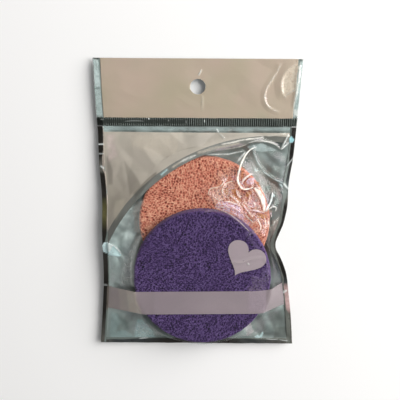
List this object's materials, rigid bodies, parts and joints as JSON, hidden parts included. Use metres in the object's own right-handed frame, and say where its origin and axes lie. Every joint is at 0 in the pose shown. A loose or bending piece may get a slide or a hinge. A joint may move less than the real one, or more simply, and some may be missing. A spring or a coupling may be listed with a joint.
{
  "type": "makeup sponge pouch",
  "caption": "Round makeup sponges loose in a heat-sealed pouch with a clear printed front, a metallised back, a ribbed crimp and a header with a hang hole.",
  "frame": {"origin": "centre of the bounding box in plan, on the plane that the pouch lies on", "axes": "+X across the pouch, to the right of someone facing its front; +Y up to the header; +Z out of the clear front"},
  "size_m": [0.115, 0.168, 0.016],
  "materials": {
    "clear_film": "gloss",
    "metallised_film": "gloss",
    "fused_edge": "gloss",
    "crimp": "satin",
    "beige_ink": "satin",
    "grey_ink": "satin",
    "mauve_ink": "satin",
    "header_ink": "satin",
    "coral_foam": "matte",
    "purple_foam": "matte"
  },
  "bodies": {
    "pouch": {"front_film": "clear_film", "back_film": "metallised_film", "left_side_seal": "fused_edge", "right_side_seal": "fused_edge", "bottom_seal": "fused_edge", "crimp_seal": "crimp", "printed_panel": "beige_ink", "printed_arc": "grey_ink", "printed_band": "mauve_ink", "printed_heart": "mauve_ink"},
    "header": {"header_front_film": "clear_film", "header_print": "header_ink", "header_back_film": "metallised_film"},
    "coral_pad": {"coral_sponge": "coral_foam"},
    "purple_pad": {"purple_sponge": "purple_foam"}
  },
  "joints": [
    {"name": "header_fold", "type": "hinge", "parent": "pouch", "child": "header", "pos_m": [0, 0.05195, 0.0042], "axis": [1, 0, 0], "range_deg": [-90, 90], "stiffness_Nm_per_rad": 0.01},
    {"name": "coral_shift", "type": "slide", "parent": "pouch", "child": "coral_pad", "axis": [0, 1, 0], "range_m": [-0.002, 0.005]},
    {"name": "purple_shift", "type": "slide", "parent": "pouch", "child": "purple_pad", "axis": [0, 1, 0], "range_m": [0, 0.005]}
  ]
}
